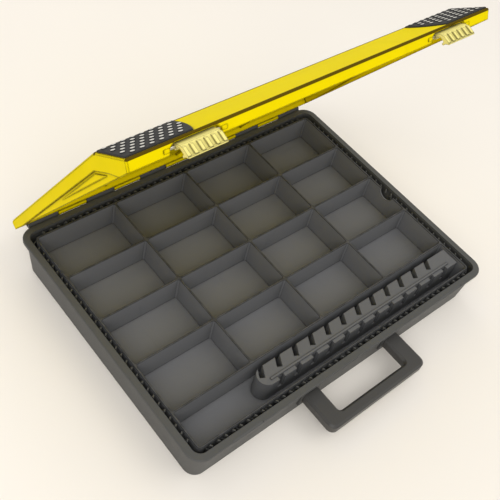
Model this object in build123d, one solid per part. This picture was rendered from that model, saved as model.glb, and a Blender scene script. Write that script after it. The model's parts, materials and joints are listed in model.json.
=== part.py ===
from build123d import *
import math
import os

# Shallow parts case: a dark base with a compartment tray and a tool rack, a wedge lid on a full-length hinge,
# two snap latches and a loop handle. Millimetres, X right, Y back, Z up, origin under the middle of the base.

# Compartment tray
COLUMNS = 4
ROWS = 4
BIN_LENGTH = 85.4
BIN_WIDTH = 52.6
FRONT_BIN_WIDTH = 36.4
BIN_DEPTH = 28.0
BIN_CORNER = 1.6
BIN_DRAFT = 0.8
DIVIDER = 1.6
TRAY_WALL = 1.6
TRAY_FLOOR = 1.6
TRAY_UNDER = 7.2
TRAY_CORNER = 4.0
TRAY_POST = 7.0
THUMB_NOTCH = 9.0

# Base
BORDER = 12.0
WALL = 2.2
WALL_DRAFT = 3.0
BASE_FLOOR = 2.2
FOOT = 3.0
FOOT_RIB = 2.4
RIM_ABOVE_TRAY = 2.0
RIM_THICK = 4.0
RIM_OUT = 3.0
RIM_IN = 1.6
RIM_EDGE = 0.8
CORNER = 12.0
GROOVE_RIB = 1.6
GROOVE_RIB_PITCH = 16.0
GROOVE_RIB_SLANT = 32.0
GROOVE_RIB_DROP = 3.5
TRAY_GAP = 0.4
CATCH_NOTCH_DEEP = 1.8
CATCH_NOTCH_HIGH = 2.4

# Handle
HANDLE_LENGTH = 124.0
HANDLE_REACH = 37.0
HANDLE_BAR = 11.0
HANDLE_ARM = 18.0
HANDLE_THICK = 12.0
HANDLE_CORNER = 7.0
HANDLE_EDGE = 2.2
HANDLE_HEIGHT = 22.0
HANDLE_PAD_EDGE = 3.0
HANDLE_PAD_OUT = 1.6
TANG_WIDTH = 10.0
TANG_THICK = 6.0
TANG_PAST_WALL = 1.2
TANG_CLEAR = 0.15

# Hinge
KNUCKLES = 11
KNUCKLE_RADIUS = 3.4
KNUCKLE_GAP = 0.4
HINGE_BORDER = 13.0
HINGE_STANDOFF = 0.4
ROD_RADIUS = 1.5
ROD_FIT = 0.02
ROD_RUNNING = 0.08
ROD_END = 3.0

# Lid
LID_OPEN = 54.0
LID_WALL = 2.4
LID_GAP = 0.3
LID_BACK_HIGH = 9.0
LID_RIDGE_HIGH = 23.0
LID_NOSE_HIGH = 9.0
LID_NOSE_OUT = 1.5
LID_CHAMFER = 41.0
LIP_LEAN = 5.0
LID_END_EDGE = 1.2
RIDGE_ROUND = 5.0
BACK_ROUND = 4.0
NOSE_ROUND = 1.4
TOP_PANEL_MARGIN = 18.0
TOP_PANEL_DEEP = 0.8
TOP_PANEL_CORNER = 14.0
SIDE_RELIEF_DEEP = 1.2
SIDE_FACET_HIGH = 0.6
RELIEF_FROM_BACK = 8.0
RELIEF_PEAK_BEHIND = 12.0
RELIEF_PEAK_SHARE = 0.52
RELIEF_FRONT_AHEAD = 8.0
RELIEF_FRONT_SHARE = 0.26
RELIEF_FROM_LIP = 12.0
FACET_BEHIND = 96.0
FACET_LOW = 4.7
FACET_PEAK_BEHIND = 14.0
FACET_PEAK_SHARE = 0.44
FACET_FRONT_AHEAD = 3.0
FACET_FRONT_SHARE = 0.22
ROOF_RIB_HIGH = 2.0
ROOF_RIB_THICK = 1.6

# Grip pads on the lid's front slope
PAD_LENGTH = 63.0
PAD_SHORTER_BELOW = 8.0
PAD_BULGE = 3.0
PAD_THICK = 2.2
PAD_SINK = 1.0
PAD_MARGIN = 2.5
PAD_END_MARGIN = 1.5
PAD_FIT = 0.15
PAD_EDGE = 0.5

# Latches
LATCH_FROM_END = 54.8
LATCH_WIDTH = 33.0
LATCH_NOTCH_SIDE = 5.0
LATCH_NOTCH_HIGH = 7.6
LATCH_NOTCH_CORNER = 6.0
LATCH_PIVOT_BACK = 2.3
LATCH_PIVOT_HIGH = 4.6
LATCH_KNUCKLE = 2.6
LATCH_PIN_RADIUS = 1.25
LATCH_PIN_FIT = 0.02
LATCH_PIN_RUNNING = 0.07
LATCH_BOSS = 5.0
LATCH_PLATE = 2.4
LATCH_STANDOFF = 1.0
LATCH_HOOK = 2.4
LATCH_HOOK_BITE = 1.6
LATCH_HOOK_GAP = 0.3
LATCH_LIP = 2.2
LATCH_LIP_FLARE = 1.4
LATCH_EDGE = 0.6
LATCH_AJAR = 18.0
LATCH_RIBS = 6
LATCH_RIB_WIDTH = 2.8
LATCH_RIB_OUT = 1.2

# Tool rack in the front compartment
RACK_FROM_LEFT = 80.0
RACK_FROM_RIGHT = 3.0
RACK_WIDTH = 20.0
RACK_BEHIND = 6.4
RACK_BELOW_TOP = 1.0
RACK_WALL = 1.8
RACK_SLOT_WIDTH = 5.0
RACK_SLOT_PITCH = 20.4
RACK_SLOT_SLANT = 28.0
RACK_SLOT_REACH = 11.0
RACK_SLOT_DEEP = 15.0
RACK_NOTCH_WIDTH = 6.0
RACK_NOTCH_REACH = 3.4
RACK_RIDGE_WIDTH = 2.4
RACK_RIDGE_HIGH = 0.8
RACK_RIDGE_GAP = 0.6

# How far a cutting block runs past the face it cuts
CUT_PAST = 1.0

# Worked out from the sizes above
tray_width = COLUMNS * BIN_LENGTH + (COLUMNS - 1) * DIVIDER + 2 * TRAY_WALL
tray_depth = ROWS * BIN_WIDTH + ROWS * DIVIDER + FRONT_BIN_WIDTH + 2 * TRAY_WALL
case_width = tray_width + 2 * BORDER
case_depth = tray_depth + 2 * BORDER
base_floor_top = FOOT + BASE_FLOOR
tray_floor_top = base_floor_top + TRAY_UNDER + TRAY_FLOOR
tray_top = tray_floor_top + BIN_DEPTH
base_height = tray_top + RIM_ABOVE_TRAY
wall_width = case_width - 2 * RIM_OUT
wall_depth = case_depth - 2 * RIM_OUT
hinge_y = case_depth / 2 + HINGE_STANDOFF + KNUCKLE_RADIUS
knuckle_pitch = (case_width - 2 * HINGE_BORDER) / KNUCKLES
rim_front_reach = hinge_y + case_depth / 2
nose_reach = rim_front_reach + LID_NOSE_OUT
ridge_reach = nose_reach - LID_CHAMFER
lip_reach = nose_reach - LIP_LEAN
back_reach = HINGE_STANDOFF + KNUCKLE_RADIUS
latch_from_middle = case_width / 2 - LATCH_FROM_END
hinge_axis = Axis((0, hinge_y, base_height), (-1, 0, 0))


def lid_point(reach, height):
    """A point of the closed lid: reach forward from the hinge axis, height above the rim, as (Y, Z)."""
    return (hinge_y - reach, base_height + height)


def lip_reach_at(height):
    """How far forward the lid's leaning lip stands at a height above the rim."""
    return lip_reach + LIP_LEAN * (height - LID_GAP) / (LID_NOSE_HIGH - LID_GAP)


latch_pivot_reach = lip_reach_at(LATCH_PIVOT_HIGH) - LATCH_PIVOT_BACK
latch_pivot = lid_point(latch_pivot_reach, LATCH_PIVOT_HIGH)
latch_notch_width = LATCH_WIDTH + 2 * LATCH_NOTCH_SIDE


def profile_prism(points, width, middle=0.0):
    """A (Y, Z) outline pushed out along X to a width, centred on X = middle."""
    face = make_face(Polyline([(0, y, z) for y, z in points], close=True))
    return extrude(face, width / 2, dir=(1, 0, 0), both=True).moved(Location((middle, 0, 0)))


def cross_rod(radius, length, middle, centre):
    """A round rod along X at a (Y, Z) centre."""
    start = Plane(origin=(middle - length / 2, centre[0], centre[1]), x_dir=(0, 1, 0), z_dir=(1, 0, 0))
    return extrude(start * Circle(radius), length)


def tapered_block(width, depth, corner, low, high, low_inset):
    """A round-cornered block whose sides lean in by low_inset at its lower end."""
    lower = Plane.XY.offset(low) * RectangleRounded(width - 2 * low_inset, depth - 2 * low_inset, corner)
    upper = Plane.XY.offset(high) * RectangleRounded(width, depth, corner)
    return loft([lower.face(), upper.face()], ruled=True)


def bin_room(length, width):
    """The space in one compartment: bevelled corners, and sides that lean in a little towards the floor."""
    sketches = []
    for level, inset in ((tray_floor_top, BIN_DRAFT), (tray_top, 0)):
        outline = Rectangle(length - 2 * inset, width - 2 * inset)
        sketches.append(Plane.XY.offset(level) * chamfer(outline.vertices(), BIN_CORNER))
    return loft([sketch.face() for sketch in sketches], ruled=True)


def level_block(width, depth, corner, low, high):
    """A round-cornered block with upright sides."""
    return extrude(Plane.XY.offset(low) * RectangleRounded(width, depth, corner), high - low)


def wall_inset(level):
    """How far the base's outer wall has leaned in at a level."""
    return WALL_DRAFT * (base_height - level) / base_height


def base_cavity(low, high):
    """The space inside the base's leaning walls between two levels."""
    inset = wall_inset(high)
    width = wall_width - 2 * inset - 2 * WALL
    depth = wall_depth - 2 * inset - 2 * WALL
    return tapered_block(width, depth, CORNER - WALL, low, high, wall_inset(low) - inset)


def spread(count, pitch):
    """Places of count things at a pitch, centred on 0."""
    return [(i - (count - 1) / 2) * pitch for i in range(count)]


def groove_ribs():
    """The slanted ribs across the groove, from the base's wall to just short of the tray."""
    top = base_height - RIM_THICK - GROOVE_RIB_DROP
    high = top - base_floor_top
    reach = 3 * BORDER
    middle = base_floor_top + high / 2
    ribs = []
    for side in (-1, 1):
        for x in spread(int(tray_width / GROOVE_RIB_PITCH), GROOVE_RIB_PITCH):
            rib = Rot(0, 0, GROOVE_RIB_SLANT) * Box(GROOVE_RIB, reach, high)
            ribs.append(Pos(x, side * case_depth / 2, middle) * rib)
        for y in spread(int(tray_depth / GROOVE_RIB_PITCH), GROOVE_RIB_PITCH):
            rib = Rot(0, 0, GROOVE_RIB_SLANT) * Box(reach, GROOVE_RIB, high)
            ribs.append(Pos(side * case_width / 2, y, middle) * rib)
    outside = base_cavity(base_floor_top - BASE_FLOOR / 2, top)
    room_width = tray_width + 2 * TRAY_GAP
    room_depth = tray_depth + 2 * TRAY_GAP
    tray_room = level_block(room_width, room_depth, TRAY_CORNER, 0, base_height)
    return (Part() + ribs) & (outside - tray_room)


def handle_root_pads():
    """Flat pads on the front wall that the handle's arms stand on."""
    pads = []
    width = HANDLE_ARM + 2 * HANDLE_PAD_EDGE
    high = HANDLE_THICK + 2 * HANDLE_PAD_EDGE
    deep = RIM_OUT + WALL_DRAFT + WALL
    for x in handle_arm_places():
        pad = Box(width, deep, high, align=(Align.CENTER, Align.MIN, Align.CENTER))
        pads.append(Pos(x, handle_seat_y, HANDLE_HEIGHT) * pad)
    return pads


def handle_arm_places():
    """Where along X the handle's two arms stand."""
    place = (HANDLE_LENGTH - HANDLE_ARM) / 2
    return (-place, place)


front_wall_at_handle = -(wall_depth / 2 - wall_inset(HANDLE_HEIGHT))
handle_seat_y = front_wall_at_handle - HANDLE_PAD_OUT
handle_tang_end = front_wall_at_handle + WALL + TANG_PAST_WALL
tang_hole_length = 2 * (WALL + HANDLE_PAD_OUT + BORDER / 2)


def foot_ribs():
    """Ribs under the floor, flush with the foot ring, so that the case stands on its middle too."""
    bars = []
    for x in spread(COLUMNS + 1, tray_width / (COLUMNS + 1)):
        bars.append(Pos(x, 0, FOOT / 2) * Box(FOOT_RIB, case_depth, FOOT))
    for y in spread(ROWS + 1, tray_depth / (ROWS + 1)):
        bars.append(Pos(0, y, FOOT / 2) * Box(case_width, FOOT_RIB, FOOT))
    return bars


def base_knuckles():
    """The base's share of the hinge barrels, each on a web from the back rim."""
    pieces = []
    length = knuckle_pitch - KNUCKLE_GAP
    low = base_height - RIM_THICK
    for i, x in enumerate(spread(KNUCKLES, knuckle_pitch)):
        if i % 2 == 0:
            web = [
                (case_depth / 2 - RIM_OUT, low),
                (hinge_y, base_height - KNUCKLE_RADIUS),
                (hinge_y, base_height - LID_GAP),
                (case_depth / 2 - RIM_OUT, base_height - LID_GAP),
            ]
            pieces.append(profile_prism(web, length, x))
            pieces.append(cross_rod(KNUCKLE_RADIUS, length, x, (hinge_y, base_height)))
    return pieces


def base_shell():
    """The base: leaning walls, a rim bead, a raised floor on a foot ring, groove ribs and hinge barrels."""
    shell = tapered_block(wall_width, wall_depth, CORNER, 0, base_height, WALL_DRAFT)
    rim = level_block(case_width, case_depth, CORNER + RIM_OUT, base_height - RIM_THICK, base_height)
    rim = chamfer(rim.edges().filter_by(Plane.XY), RIM_EDGE)
    shell += rim
    shell += handle_root_pads()
    shell -= base_cavity(base_floor_top, base_height - RIM_THICK)
    rim_room_width = wall_width - 2 * WALL - 2 * RIM_IN
    rim_room_depth = wall_depth - 2 * WALL - 2 * RIM_IN
    low = base_height - RIM_THICK - CUT_PAST
    high = base_height + CUT_PAST
    shell -= level_block(rim_room_width, rim_room_depth, CORNER - WALL - RIM_IN, low, high)
    under = base_cavity(-CUT_PAST, FOOT)
    shell -= under - (Part() + foot_ribs())
    shell += groove_ribs()
    shell += base_knuckles()
    shell -= cross_rod(ROD_RADIUS + ROD_FIT, case_width, 0, (hinge_y, base_height))
    for x in handle_arm_places():
        hole = Box(TANG_WIDTH + 2 * TANG_CLEAR, tang_hole_length, TANG_THICK + 2 * TANG_CLEAR)
        shell -= Pos(x, front_wall_at_handle, HANDLE_HEIGHT) * hole
    for side in (-1, 1):
        notch = [
            (-case_depth / 2 - CUT_PAST, base_height + CUT_PAST),
            (-case_depth / 2 + CATCH_NOTCH_DEEP, base_height + CUT_PAST),
            (-case_depth / 2 + CATCH_NOTCH_DEEP, base_height),
            (-case_depth / 2 - CUT_PAST, base_height - CATCH_NOTCH_HIGH),
        ]
        shell -= profile_prism(notch, LATCH_WIDTH, side * latch_from_middle)
    return shell


def handle():
    """The carrying loop: two arms and a grip bar, with barbed tangs through the base's front wall."""
    reach = handle_seat_y + case_depth / 2 + HANDLE_REACH
    outer = Pos(0, handle_seat_y - reach / 2) * Rectangle(HANDLE_LENGTH, reach)
    outer = fillet(outer.vertices().group_by(Axis.Y)[0], HANDLE_CORNER)
    room = Pos(0, handle_seat_y) * Rectangle(HANDLE_LENGTH - 2 * HANDLE_ARM, 2 * (reach - HANDLE_BAR))
    room = fillet(room.vertices(), HANDLE_CORNER / 2)
    low = HANDLE_HEIGHT - HANDLE_THICK / 2
    loop = extrude(Plane.XY.offset(low) * (outer - room), HANDLE_THICK)
    rims = [e for e in loop.edges().filter_by(Plane.XY) if e.center().Y < handle_seat_y - HANDLE_EDGE]
    loop = chamfer(rims, HANDLE_EDGE)
    length = handle_tang_end - handle_seat_y
    for x in handle_arm_places():
        tang = Box(TANG_WIDTH, length, TANG_THICK, align=(Align.CENTER, Align.MIN, Align.CENTER))
        loop += Pos(x, handle_seat_y, HANDLE_HEIGHT) * tang
    return loop


def tray_bins():
    """Where each compartment is and how large: (X, Y, length, width)."""
    back = tray_depth / 2 - TRAY_WALL
    bins = []
    for row in range(ROWS):
        y = back - BIN_WIDTH / 2 - row * (BIN_WIDTH + DIVIDER)
        for x in spread(COLUMNS, BIN_LENGTH + DIVIDER):
            bins.append((x, y, BIN_LENGTH, BIN_WIDTH))
    front_y = -tray_depth / 2 + TRAY_WALL + FRONT_BIN_WIDTH / 2
    bins.append((0, front_y, tray_width - 2 * TRAY_WALL, FRONT_BIN_WIDTH))
    return bins


def compartment_tray():
    """The moulded tray: sixteen bins and a long front one, on a skirt and a post under each crossing."""
    tray = level_block(tray_width, tray_depth, TRAY_CORNER, base_floor_top, tray_top)
    under_corner = TRAY_CORNER - TRAY_WALL
    under_width = tray_width - 2 * TRAY_WALL
    under_depth = tray_depth - 2 * TRAY_WALL
    under_low = base_floor_top - CUT_PAST
    under_high = base_floor_top + TRAY_UNDER
    tray -= level_block(under_width, under_depth, under_corner, under_low, under_high)
    for x, y, length, width in tray_bins():
        tray -= Pos(x, y, 0) * bin_room(length, width)
    for x in spread(COLUMNS - 1, BIN_LENGTH + DIVIDER):
        for row in range(1, ROWS + 1):
            y = tray_depth / 2 - TRAY_WALL - row * (BIN_WIDTH + DIVIDER) + DIVIDER / 2
            post_high = TRAY_UNDER + TRAY_FLOOR / 2
            post = Box(TRAY_POST, TRAY_POST, post_high, align=(Align.CENTER, Align.CENTER, Align.MIN))
            tray += Pos(x, y, base_floor_top) * post
    notch_y = tray_depth / 2 - TRAY_WALL - BIN_WIDTH / 2 - 2 * (BIN_WIDTH + DIVIDER)
    notch_x = tray_width / 2 - 2 * TRAY_WALL
    start = Plane(origin=(notch_x, notch_y, tray_top), x_dir=(0, 1, 0), z_dir=(1, 0, 0))
    tray -= extrude(start * Circle(THUMB_NOTCH), 3 * TRAY_WALL)
    return tray


def rack_outline(inset):
    """The rack's plan, round at its left end, drawn in by inset."""
    left = -tray_width / 2 + TRAY_WALL + RACK_FROM_LEFT + inset
    right = tray_width / 2 - TRAY_WALL - RACK_FROM_RIGHT - inset
    half = RACK_WIDTH / 2 - inset
    y = rack_middle_y
    bar = Pos((left + half + right) / 2, y) * Rectangle(right - left - half, 2 * half)
    return bar + Pos(left + half, y) * Circle(half)


front_bin_back = tray_depth / 2 - TRAY_WALL - ROWS * (BIN_WIDTH + DIVIDER)
rack_middle_y = front_bin_back - RACK_BEHIND - RACK_WIDTH / 2
rack_top_level = tray_top - RACK_BELOW_TOP


def tool_rack():
    """A rail that stands in the front compartment, cored below, with slanted tool slots open to the rear."""
    high = rack_top_level - tray_floor_top
    core_high = high - RACK_SLOT_DEEP - RACK_WALL
    rack = extrude(Plane.XY.offset(tray_floor_top) * rack_outline(0), high)
    rack -= extrude(Plane.XY.offset(tray_floor_top) * rack_outline(RACK_WALL), core_high)
    left = -tray_width / 2 + TRAY_WALL + RACK_FROM_LEFT + RACK_WIDTH / 2
    right = tray_width / 2 - TRAY_WALL - RACK_FROM_RIGHT - RACK_SLOT_PITCH / 2
    count = int((right - left) / RACK_SLOT_PITCH) + 1
    rear = rack_middle_y + RACK_WIDTH / 2
    front = rack_middle_y - RACK_WIDTH / 2
    slot_level = rack_top_level - RACK_SLOT_DEEP / 2
    for i in range(count):
        x = left + i * RACK_SLOT_PITCH
        slot = Rot(0, 0, -RACK_SLOT_SLANT) * Box(RACK_SLOT_WIDTH, 2 * RACK_SLOT_REACH, RACK_SLOT_DEEP)
        rack -= Pos(x, rear, slot_level) * slot
        notch = Box(RACK_NOTCH_WIDTH, 2 * RACK_NOTCH_REACH, RACK_SLOT_DEEP)
        rack -= Pos(x + RACK_SLOT_PITCH / 2, front, slot_level) * notch
    ridge_length = right - left
    ridge = Box(ridge_length, RACK_RIDGE_WIDTH, RACK_RIDGE_HIGH, align=(Align.MIN, Align.CENTER, Align.MIN))
    ridge_y = front + RACK_NOTCH_REACH + RACK_RIDGE_WIDTH / 2 + RACK_RIDGE_GAP
    rack += Pos(left, ridge_y, rack_top_level) * ridge
    return rack


def lid_outline(bottom):
    """The closed lid's side outline, with its lower edge at a height above the rim."""
    return [
        lid_point(back_reach, bottom),
        lid_point(back_reach, LID_BACK_HIGH),
        lid_point(ridge_reach, LID_RIDGE_HIGH),
        lid_point(nose_reach, LID_NOSE_HIGH),
        lid_point(lip_reach_at(bottom), bottom),
    ]


def lid_face(bottom, shrink):
    """The lid's outline in the X = 0 plane, drawn in by shrink, with its upper corners rounded to match."""
    outline = lid_outline(bottom)
    face = make_face(Polyline(outline, close=True))
    if shrink:
        face = offset(face, -shrink, kind=Kind.INTERSECTION)
    for corner, radius in zip(outline[1:4], (BACK_ROUND, RIDGE_ROUND, NOSE_ROUND)):
        if radius > shrink:
            face = fillet(face.vertices().sort_by_distance(corner)[0], radius - shrink)
    return Plane(origin=(0, 0, 0), x_dir=(0, 1, 0), z_dir=(1, 0, 0)) * face


def lid_slope_plane():
    """The plane of the lid's front slope, x along the case, y up the slope, on the nose edge at X = 0."""
    nose = lid_point(nose_reach, LID_NOSE_HIGH)
    ridge = lid_point(ridge_reach, LID_RIDGE_HIGH)
    run = ridge[0] - nose[0]
    rise = ridge[1] - nose[1]
    return Plane(origin=(0, nose[0], nose[1]), x_dir=(1, 0, 0), z_dir=(0, -rise, run))


def pad_face(side, grow):
    """One grip pad's outline on the slope plane, with its inner end curved, grown by a clearance."""
    slope_length = math.hypot(LID_CHAMFER, LID_RIDGE_HIGH - LID_NOSE_HIGH)
    end = case_width / 2 - PAD_END_MARGIN + grow
    low = PAD_MARGIN - grow
    high = slope_length - PAD_MARGIN + grow
    low_inner = case_width / 2 - PAD_LENGTH + PAD_SHORTER_BELOW - grow
    high_inner = case_width / 2 - PAD_LENGTH - grow
    middle = ((low_inner + high_inner) / 2 - PAD_BULGE, (low + high) / 2)
    sides = Polyline((low_inner, low), (end, low), (end, high), (high_inner, high))
    curve = ThreePointArc((low_inner, low), middle, (high_inner, high))
    face = make_face(sides + curve)
    return face if side > 0 else mirror(face, about=Plane.YZ)


def grip_pad(side):
    """A rubber grip pad sunk into the lid's front slope at one end."""
    floor = lid_slope_plane().offset(-PAD_SINK)
    pad = extrude(floor * pad_face(side, 0), PAD_THICK)
    top = pad.faces().sort_by(lambda face: (face.center() - floor.origin).dot(floor.z_dir))[-1]
    return chamfer(top.edges(), PAD_EDGE)


def side_relief(sink, side, outline):
    """A wedge-shaped slab on one side of the lid, from its outside face inward."""
    points = [lid_point(reach, height) for reach, height in outline]
    middle = side * (case_width / 2 - sink / 2)
    return profile_prism(points, sink, middle)


def relief_outline():
    """The long sunk wedge on each side of the lid, from the hinge to the lip."""
    return [
        (back_reach + RELIEF_FROM_BACK, LID_GAP - CUT_PAST),
        (ridge_reach - RELIEF_PEAK_BEHIND, LID_RIDGE_HIGH * RELIEF_PEAK_SHARE),
        (ridge_reach + RELIEF_FRONT_AHEAD, LID_RIDGE_HIGH * RELIEF_FRONT_SHARE),
        (lip_reach - RELIEF_FROM_LIP, LID_GAP - CUT_PAST),
    ]


def facet_outline():
    """The raised thumb wedge in the relief."""
    return [
        (ridge_reach - FACET_BEHIND, FACET_LOW),
        (ridge_reach - FACET_PEAK_BEHIND, LID_RIDGE_HIGH * FACET_PEAK_SHARE),
        (ridge_reach + FACET_FRONT_AHEAD, LID_RIDGE_HIGH * FACET_FRONT_SHARE),
    ]


def lid_knuckles():
    """The lid's share of the hinge barrels, each on a web from its back wall."""
    pieces = []
    length = knuckle_pitch - KNUCKLE_GAP
    for i, x in enumerate(spread(KNUCKLES, knuckle_pitch)):
        if i % 2 == 1:
            web = [
                lid_point(back_reach + LID_WALL / 2, LID_GAP),
                lid_point(0, LID_GAP),
                lid_point(0, KNUCKLE_RADIUS),
                lid_point(back_reach + LID_WALL / 2, KNUCKLE_RADIUS + LID_WALL / 2),
            ]
            pieces.append(profile_prism(web, length, x))
            pieces.append(cross_rod(KNUCKLE_RADIUS, length, x, (hinge_y, base_height)))
    return pieces


def latch_bosses(side):
    """Bosses inside the lip at both ends of a latch's pin."""
    middle = side * latch_from_middle
    low = LATCH_PIVOT_HIGH - LATCH_KNUCKLE
    high = LATCH_PIVOT_HIGH + LATCH_KNUCKLE
    bosses = []
    for end in (-1, 1):
        x = middle + end * (latch_notch_width + LATCH_BOSS) / 2
        bosses.append(cross_rod(LATCH_KNUCKLE, LATCH_BOSS, x, latch_pivot))
        web = [
            lid_point(latch_pivot_reach, low),
            lid_point(lip_reach_at(low) - LID_WALL / 4, low),
            lid_point(lip_reach_at(high) - LID_WALL / 4, high),
            lid_point(latch_pivot_reach, high),
        ]
        bosses.append(profile_prism(web, LATCH_BOSS, x))
    return bosses


def latch_notch(side):
    """The arch cut through the lip for one latch."""
    high = LATCH_NOTCH_HIGH + 4 * LATCH_NOTCH_CORNER
    arch = Pos(0, LATCH_NOTCH_HIGH - high / 2) * RectangleRounded(latch_notch_width, high, LATCH_NOTCH_CORNER)
    y = hinge_y - latch_pivot_reach + LATCH_KNUCKLE + CUT_PAST
    start = Plane(origin=(side * latch_from_middle, y, base_height), x_dir=(1, 0, 0), z_dir=(0, -1, 0))
    return extrude(start * arch, 4 * LATCH_KNUCKLE)


def top_panel():
    """The shallow panel sunk into the lid's top."""
    back = lid_point(back_reach, LID_BACK_HIGH)
    ridge = lid_point(ridge_reach, LID_RIDGE_HIGH)
    run = back[0] - ridge[0]
    rise = ridge[1] - back[1]
    middle = ((back[0] + ridge[0]) / 2, (back[1] + ridge[1]) / 2)
    top = Plane(origin=(0, middle[0], middle[1]), x_dir=(1, 0, 0), z_dir=(0, rise, run))
    width = case_width - 2 * TOP_PANEL_MARGIN
    depth = math.hypot(run, rise) - 2 * TOP_PANEL_MARGIN
    return extrude(top * RectangleRounded(width, depth, TOP_PANEL_CORNER), -TOP_PANEL_DEEP)


def roof_ribs():
    """Stiffening ribs on the inside of the lid's roof, front to back."""
    inner_back = back_reach + LID_WALL * 3 / 4
    low_back = LID_BACK_HIGH - LID_WALL
    rise = LID_RIDGE_HIGH - LID_BACK_HIGH
    ribs = []
    for x in spread(COLUMNS - 1, BIN_LENGTH + DIVIDER):
        outline = [
            lid_point(inner_back, low_back - ROOF_RIB_HIGH),
            lid_point(inner_back, LID_BACK_HIGH - LID_WALL / 2),
            lid_point(ridge_reach, low_back + rise + LID_WALL / 4),
            lid_point(ridge_reach, LID_RIDGE_HIGH - LID_WALL - ROOF_RIB_HIGH),
        ]
        ribs.append(profile_prism(outline, ROOF_RIB_THICK, x))
    return ribs


def lid_shell():
    """The wedge lid, closed: hollow, with a sloped front, a leaning lip, latch arches and hinge barrels."""
    shell = extrude(lid_face(LID_GAP, 0), case_width / 2, both=True)
    ends = [f for f in shell.faces() if abs(abs(f.center().X) - case_width / 2) < 0.01]
    edges = [e for f in ends for e in f.edges() if e.center().Z > base_height + 2 * LID_GAP]
    shell = chamfer(edges, LID_END_EDGE)
    shell -= top_panel()
    hollow = extrude(lid_face(LID_GAP - 4 * LID_WALL, LID_WALL), case_width / 2 - LID_WALL, both=True)
    shell -= hollow
    room_middle = base_height + LID_GAP + LID_RIDGE_HIGH / 2
    above_rim = Pos(0, 0, room_middle) * Box(2 * case_width, 2 * case_depth, LID_RIDGE_HIGH)
    for side in (-1, 1):
        backing = side_relief(SIDE_RELIEF_DEEP + LID_WALL, side, relief_outline())
        shell += backing & above_rim
        shell -= side_relief(SIDE_RELIEF_DEEP, side, relief_outline())
        facet = side_relief(SIDE_RELIEF_DEEP + LID_WALL / 4, side, facet_outline())
        facet -= side_relief(SIDE_RELIEF_DEEP - SIDE_FACET_HIGH, side, facet_outline())
        shell += facet & above_rim
        shell += latch_bosses(side)
        shell -= latch_notch(side)
        pocket = extrude(lid_slope_plane().offset(-PAD_SINK) * pad_face(side, PAD_FIT), PAD_THICK)
        shell -= pocket
        bore = latch_notch_width + 2 * LATCH_BOSS
        shell -= cross_rod(LATCH_PIN_RADIUS + LATCH_PIN_FIT, bore, side * latch_from_middle, latch_pivot)
    shell += roof_ribs()
    shell += lid_knuckles()
    shell -= cross_rod(ROD_RADIUS + ROD_RUNNING, case_width, 0, (hinge_y, base_height))
    return shell


def latch(side):
    """A ribbed snap latch, closed: a knuckle on the pin, a plate, and a hook under the base's rim bead."""
    middle = side * latch_from_middle
    inner = rim_front_reach + LATCH_STANDOFF
    outer = inner + LATCH_PLATE
    hook_top = -RIM_THICK - LATCH_HOOK_GAP
    hook_low = hook_top - LATCH_HOOK
    shoulder = LATCH_PIVOT_HIGH - LATCH_KNUCKLE
    points = [
        (latch_pivot_reach + LATCH_KNUCKLE / 2, LATCH_PIVOT_HIGH + LATCH_KNUCKLE * 0.8),
        (outer, shoulder - LATCH_EDGE),
        (outer, hook_low - LATCH_EDGE),
        (outer + LATCH_LIP_FLARE, hook_low - LATCH_LIP),
        (outer + LATCH_LIP_FLARE - LATCH_PLATE / 2, hook_low - LATCH_LIP - LATCH_EDGE),
        (inner, hook_low),
        (rim_front_reach - LATCH_HOOK_BITE, hook_low + LATCH_EDGE),
        (rim_front_reach - LATCH_HOOK_BITE, hook_top),
        (inner, hook_top),
        (inner, shoulder - LATCH_STANDOFF),
        (latch_pivot_reach + LATCH_KNUCKLE / 2, shoulder + LATCH_KNUCKLE / 8),
    ]
    body = profile_prism([lid_point(r, h) for r, h in points], LATCH_WIDTH, middle)
    body += cross_rod(LATCH_KNUCKLE, LATCH_WIDTH, middle, latch_pivot)
    rib = [
        (outer - LATCH_STANDOFF, shoulder - LATCH_EDGE),
        (outer + LATCH_RIB_OUT, shoulder - LATCH_EDGE - 2 * LATCH_RIB_OUT),
        (outer + LATCH_RIB_OUT, hook_low - LATCH_EDGE),
        (outer + LATCH_LIP_FLARE, hook_low - LATCH_LIP + LATCH_EDGE),
        (outer - LATCH_STANDOFF, hook_low - LATCH_EDGE),
    ]
    rib_pitch = (LATCH_WIDTH - LATCH_RIB_WIDTH) / (LATCH_RIBS - 1)
    for x in spread(LATCH_RIBS, rib_pitch):
        body += profile_prism([lid_point(r, h) for r, h in rib], LATCH_RIB_WIDTH, middle + x)
    body -= cross_rod(LATCH_PIN_RADIUS + LATCH_PIN_RUNNING, LATCH_WIDTH + 2 * CUT_PAST, middle, latch_pivot)
    return body


def latch_pin(side):
    """The steel pin that a latch swings on."""
    length = latch_notch_width + 2 * LATCH_BOSS
    return cross_rod(LATCH_PIN_RADIUS, length, side * latch_from_middle, latch_pivot)


def hinge_rod():
    """The steel rod through every hinge barrel."""
    return cross_rod(ROD_RADIUS, case_width - 2 * HINGE_BORDER - 2 * ROD_END, 0, (hinge_y, base_height))


def opened(piece):
    """A piece of the lid turned from closed to its open rest."""
    return piece.rotate(hinge_axis, LID_OPEN)


def ajar(piece):
    """A latch turned about its pin from latched to its rest."""
    return piece.rotate(Axis((0, latch_pivot[0], latch_pivot[1]), (-1, 0, 0)), LATCH_AJAR)


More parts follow.
